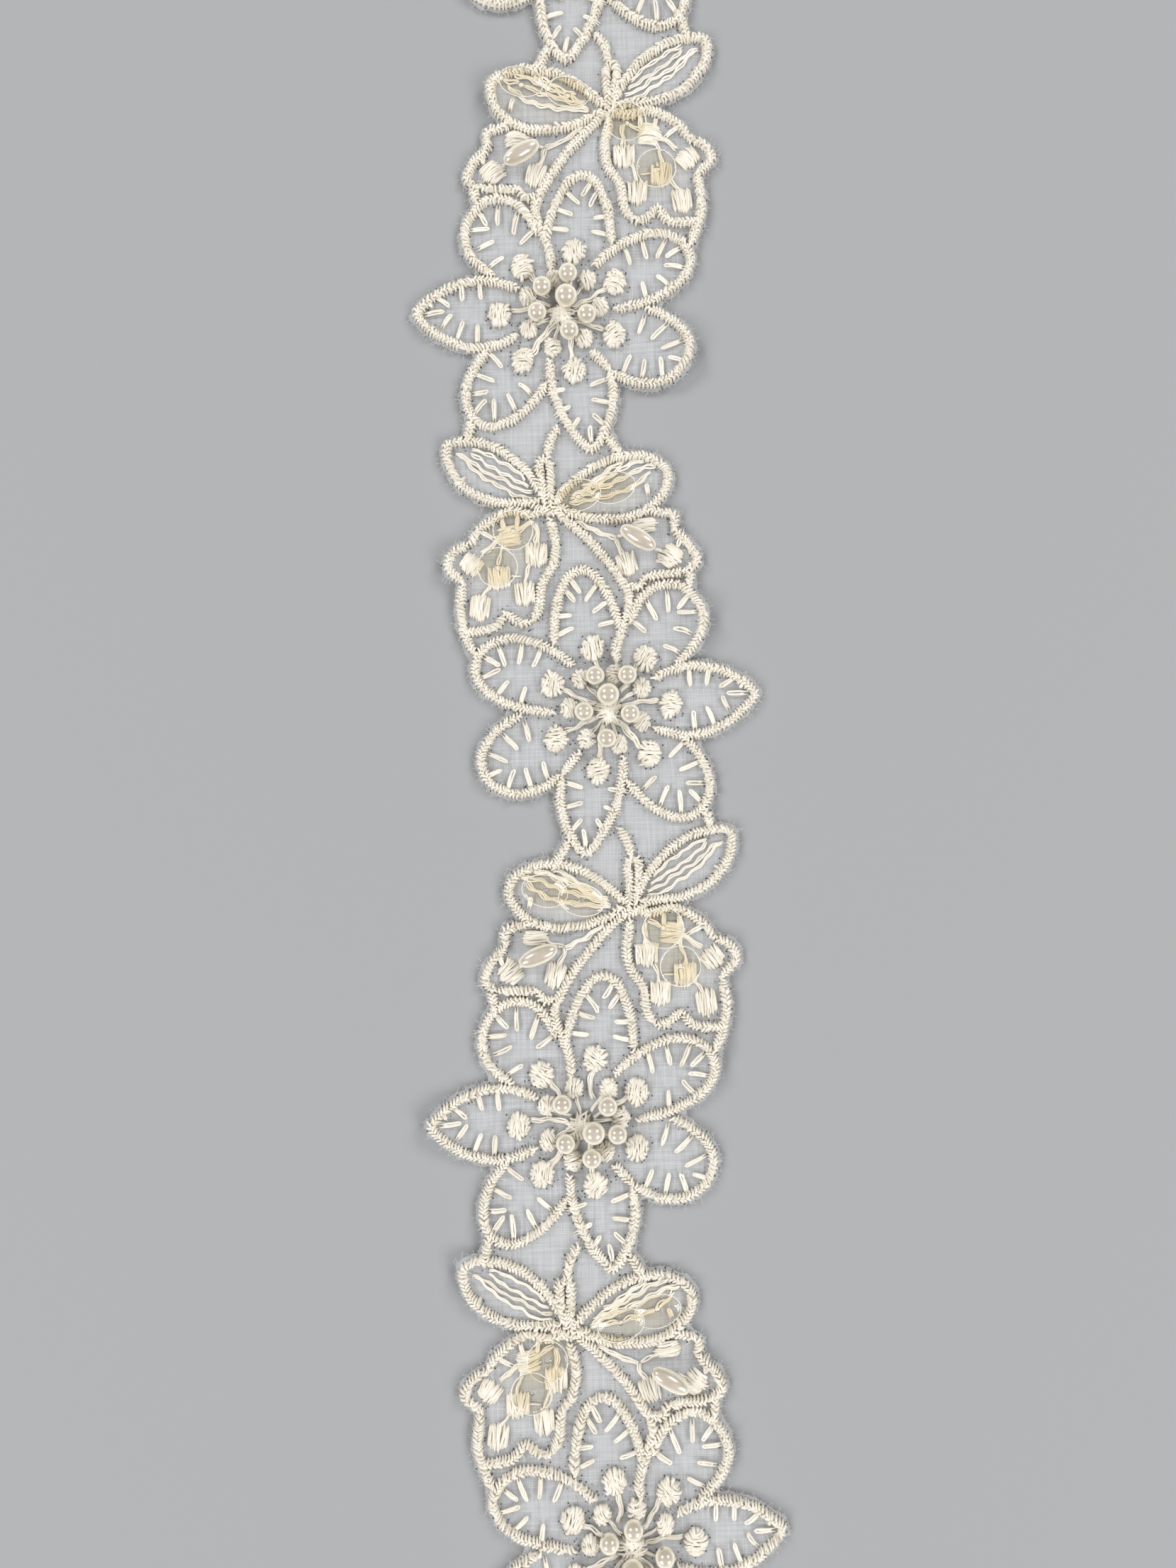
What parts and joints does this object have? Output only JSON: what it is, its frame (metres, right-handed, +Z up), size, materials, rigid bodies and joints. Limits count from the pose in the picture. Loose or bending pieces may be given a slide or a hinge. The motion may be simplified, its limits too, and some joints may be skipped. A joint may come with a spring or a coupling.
{
  "type": "beaded trim",
  "caption": "Scalloped band of sheer ivory organza with corded flowers and leaves, sewn-on pearls and clear sequins, lying flat",
  "frame": {"origin": "on the flat underside, in the middle of the band's width, at the middle flower's height along it", "axes": "+Z up out of the embroidered face, +Y along the band, +X across it"},
  "size_m": [0.059, 0.3442, 0.0053],
  "materials": {
    "embroidered_organza": "ivory satin stitch on sheer white organza",
    "pearl": "cream pearl lustre",
    "clear_sequin": "clear, faint yellow sheen"
  },
  "bodies": {
    "root": {"band": "embroidered_organza", "pearl_large_1": "pearl", "pearl_large_2": "pearl", "pearl_large_3": "pearl", "pearl_large_4": "pearl", "pearl_large_5": "pearl", "pearl_small_1_1": "pearl", "pearl_small_1_2": "pearl", "pearl_small_1_3": "pearl", "pearl_small_1_4": "pearl", "pearl_small_1_5": "pearl", "pearl_small_2_1": "pearl", "pearl_small_2_2": "pearl", "pearl_small_2_3": "pearl", "pearl_small_2_4": "pearl", "pearl_small_2_5": "pearl", "pearl_small_3_1": "pearl", "pearl_small_3_2": "pearl", "pearl_small_3_3": "pearl", "pearl_small_3_4": "pearl", "pearl_small_3_5": "pearl", "pearl_small_4_1": "pearl", "pearl_small_4_2": "pearl", "pearl_small_4_3": "pearl", "pearl_small_4_4": "pearl", "pearl_small_4_5": "pearl", "pearl_small_5_1": "pearl", "pearl_small_5_2": "pearl", "pearl_small_5_3": "pearl", "pearl_small_5_4": "pearl", "pearl_small_5_5": "pearl", "rice_pearl_1": "pearl", "rice_pearl_2": "pearl", "rice_pearl_3": "pearl", "rice_pearl_4": "pearl", "rice_pearl_5": "pearl", "sequin_round_1_1": "clear_sequin", "sequin_round_1_2": "clear_sequin", "sequin_round_2_1": "clear_sequin", "sequin_round_2_2": "clear_sequin", "sequin_round_3_1": "clear_sequin", "sequin_round_3_2": "clear_sequin", "sequin_round_4_1": "clear_sequin", "sequin_round_4_2": "clear_sequin", "sequin_round_5_1": "clear_sequin", "sequin_round_5_2": "clear_sequin", "sequin_oval_1_1": "clear_sequin", "sequin_oval_1_2": "clear_sequin", "sequin_oval_2_1": "clear_sequin", "sequin_oval_2_2": "clear_sequin", "sequin_oval_3_1": "clear_sequin", "sequin_oval_3_2": "clear_sequin", "sequin_oval_4_1": "clear_sequin", "sequin_oval_4_2": "clear_sequin", "sequin_oval_5_1": "clear_sequin", "sequin_oval_5_2": "clear_sequin"}
  },
  "joints": []
}
